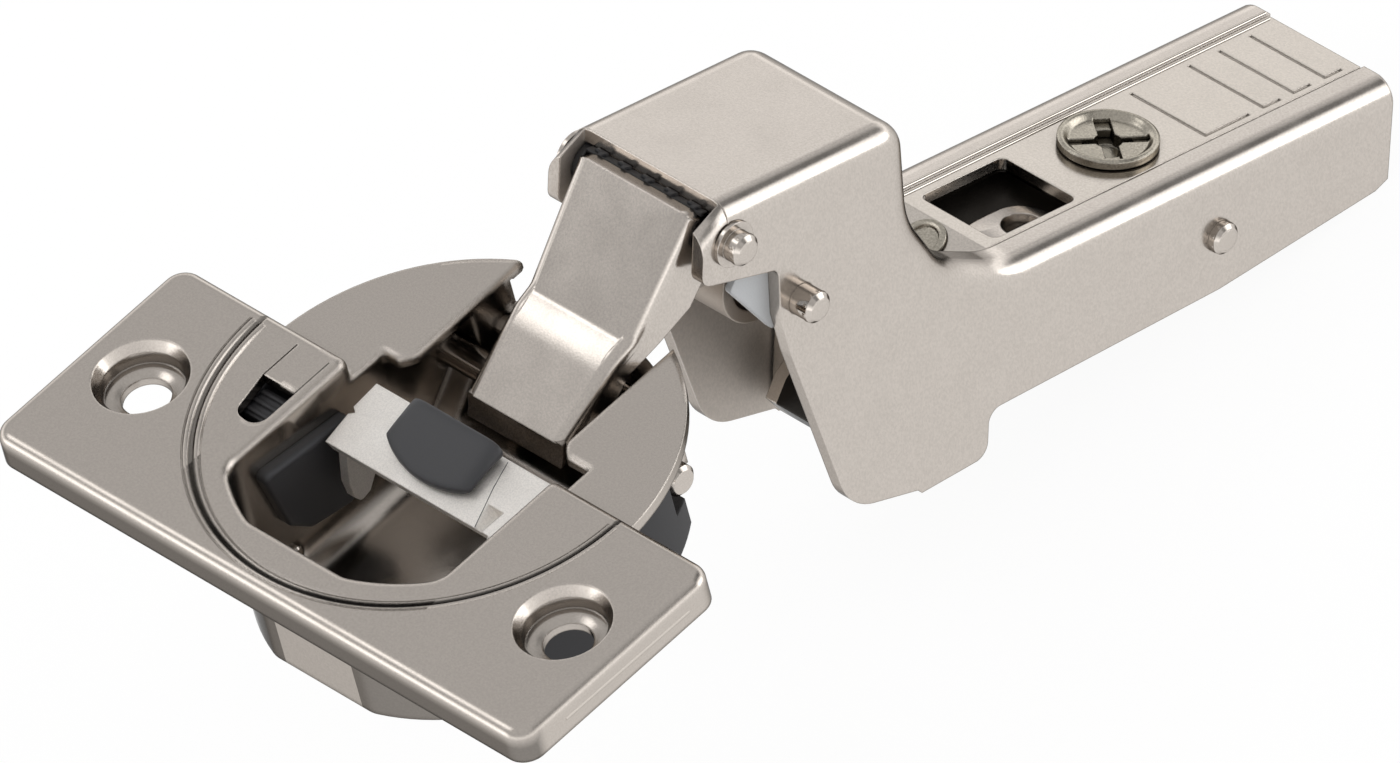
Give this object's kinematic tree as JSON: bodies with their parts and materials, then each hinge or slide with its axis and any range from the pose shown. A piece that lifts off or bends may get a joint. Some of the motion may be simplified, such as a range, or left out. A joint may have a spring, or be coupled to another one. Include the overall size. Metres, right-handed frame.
{
  "type": "concealed cup hinge",
  "caption": "Concealed cup hinge for a cabinet door, with a screw-on cup, two coupled links, a raised arm, and a clip-on adapter with adjusting screws.",
  "frame": {"origin": "On the cup's axis, in the plane of the door face that the flange rests on.", "axes": "+X along the line of the two cup screws, +Y from the cup towards the arm, +Z out of the door."},
  "size_m": [0.0568, 0.1079, 0.0495],
  "materials": {
    "sheet_metal": "nickel-plated, fine satin",
    "pin_steel": "turned, bright",
    "dark_plastic": "moulded, dark grey",
    "sintered_steel": "sintered, fine grain",
    "bare_steel": "rolled",
    "grey_plastic": "moulded, blue grey",
    "screw_zinc": "zinc-plated"
  },
  "bodies": {
    "cup": {"cup": "sheet_metal", "outer_link_pin_left": "pin_steel", "outer_link_pin_right": "pin_steel", "inner_link_pin": "pin_steel", "rocker_pin": "pin_steel", "cover_pin": "pin_steel", "damper_housing": "dark_plastic", "switch_housing": "dark_plastic", "damper_cover": "dark_plastic"},
    "outer_link": {"outer_link": "sheet_metal"},
    "arm": {"hinge_arm": "sheet_metal", "outer_link_rivet": "pin_steel", "outer_link_washer_left": "grey_plastic", "outer_link_washer_right": "grey_plastic", "inner_link_rivet": "pin_steel", "lever_pin": "pin_steel", "arm_guide": "grey_plastic"},
    "inner_link": {"inner_link": "bare_steel"},
    "rocker": {"rocker_bar": "sintered_steel", "rocker_pad": "dark_plastic"},
    "adapter": {"clip_adapter": "sheet_metal"},
    "depth_screw": {"depth_screw": "screw_zinc"},
    "side_screw": {"side_screw": "screw_zinc"},
    "clip_lever": {"clip_lever": "bare_steel"},
    "soft_close_switch": {"soft_close_switch": "dark_plastic"}
  },
  "joints": [
    {"name": "outer_link_pivot", "type": "hinge", "parent": "cup", "child": "outer_link", "pos_m": [0, 0.01, -0.004], "axis": [1, 0, 0], "range_deg": [0, 134]},
    {"name": "arm_pivot", "type": "hinge", "parent": "outer_link", "child": "arm", "pos_m": [0, 0.02437, 0.00571], "axis": [1, 0, 0], "range_deg": [-24.53, 0]},
    {"name": "inner_link_pivot", "type": "hinge", "parent": "cup", "child": "inner_link", "pos_m": [0, 0.0134, -0.0032], "axis": [1, 0, 0], "range_deg": [0, 148.05]},
    {"name": "rocker_pivot", "type": "hinge", "parent": "cup", "child": "rocker", "pos_m": [0, -0.0087, -0.0099], "axis": [1, 0, 0], "range_deg": [-41.05, 0]},
    {"name": "depth_slide", "type": "slide", "parent": "arm", "child": "adapter", "axis": [0, 0.9425, -0.3341], "range_m": [-0.0015, 0.0015]},
    {"name": "depth_screw_turn", "type": "hinge", "parent": "adapter", "child": "depth_screw", "pos_m": [0.0003, 0.06594, -0.02467], "axis": [0, 0.3341, 0.9425], "range_deg": [-75.1, 75.1]},
    {"name": "side_screw_turn", "type": "hinge", "parent": "adapter", "child": "side_screw", "pos_m": [0, 0.04722, -0.01899], "axis": [0, -0.1793, 0.9838], "range_deg": [-180, 180]},
    {"name": "clip_lever_pivot", "type": "hinge", "parent": "arm", "child": "clip_lever", "pos_m": [0, 0.06816, -0.03209], "axis": [1, 0, 0], "range_deg": [0, 10], "stiffness_Nm_per_rad": 0.02, "springref_deg": -5.73},
    {"name": "switch_slide", "type": "slide", "parent": "cup", "child": "soft_close_switch", "axis": [0, 1, 0], "range_m": [-0.0012, 0.0015]}
  ],
  "couplings": [
    {"joint": "arm_pivot", "follows": "outer_link_pivot", "ratio": -0.18269},
    {"joint": "inner_link_pivot", "follows": "outer_link_pivot", "ratio": 1.1045},
    {"joint": "rocker_pivot", "follows": "outer_link_pivot", "ratio": -0.30597},
    {"joint": "depth_screw_turn", "follows": "depth_slide", "rad_per_m": 872.66}
  ]
}
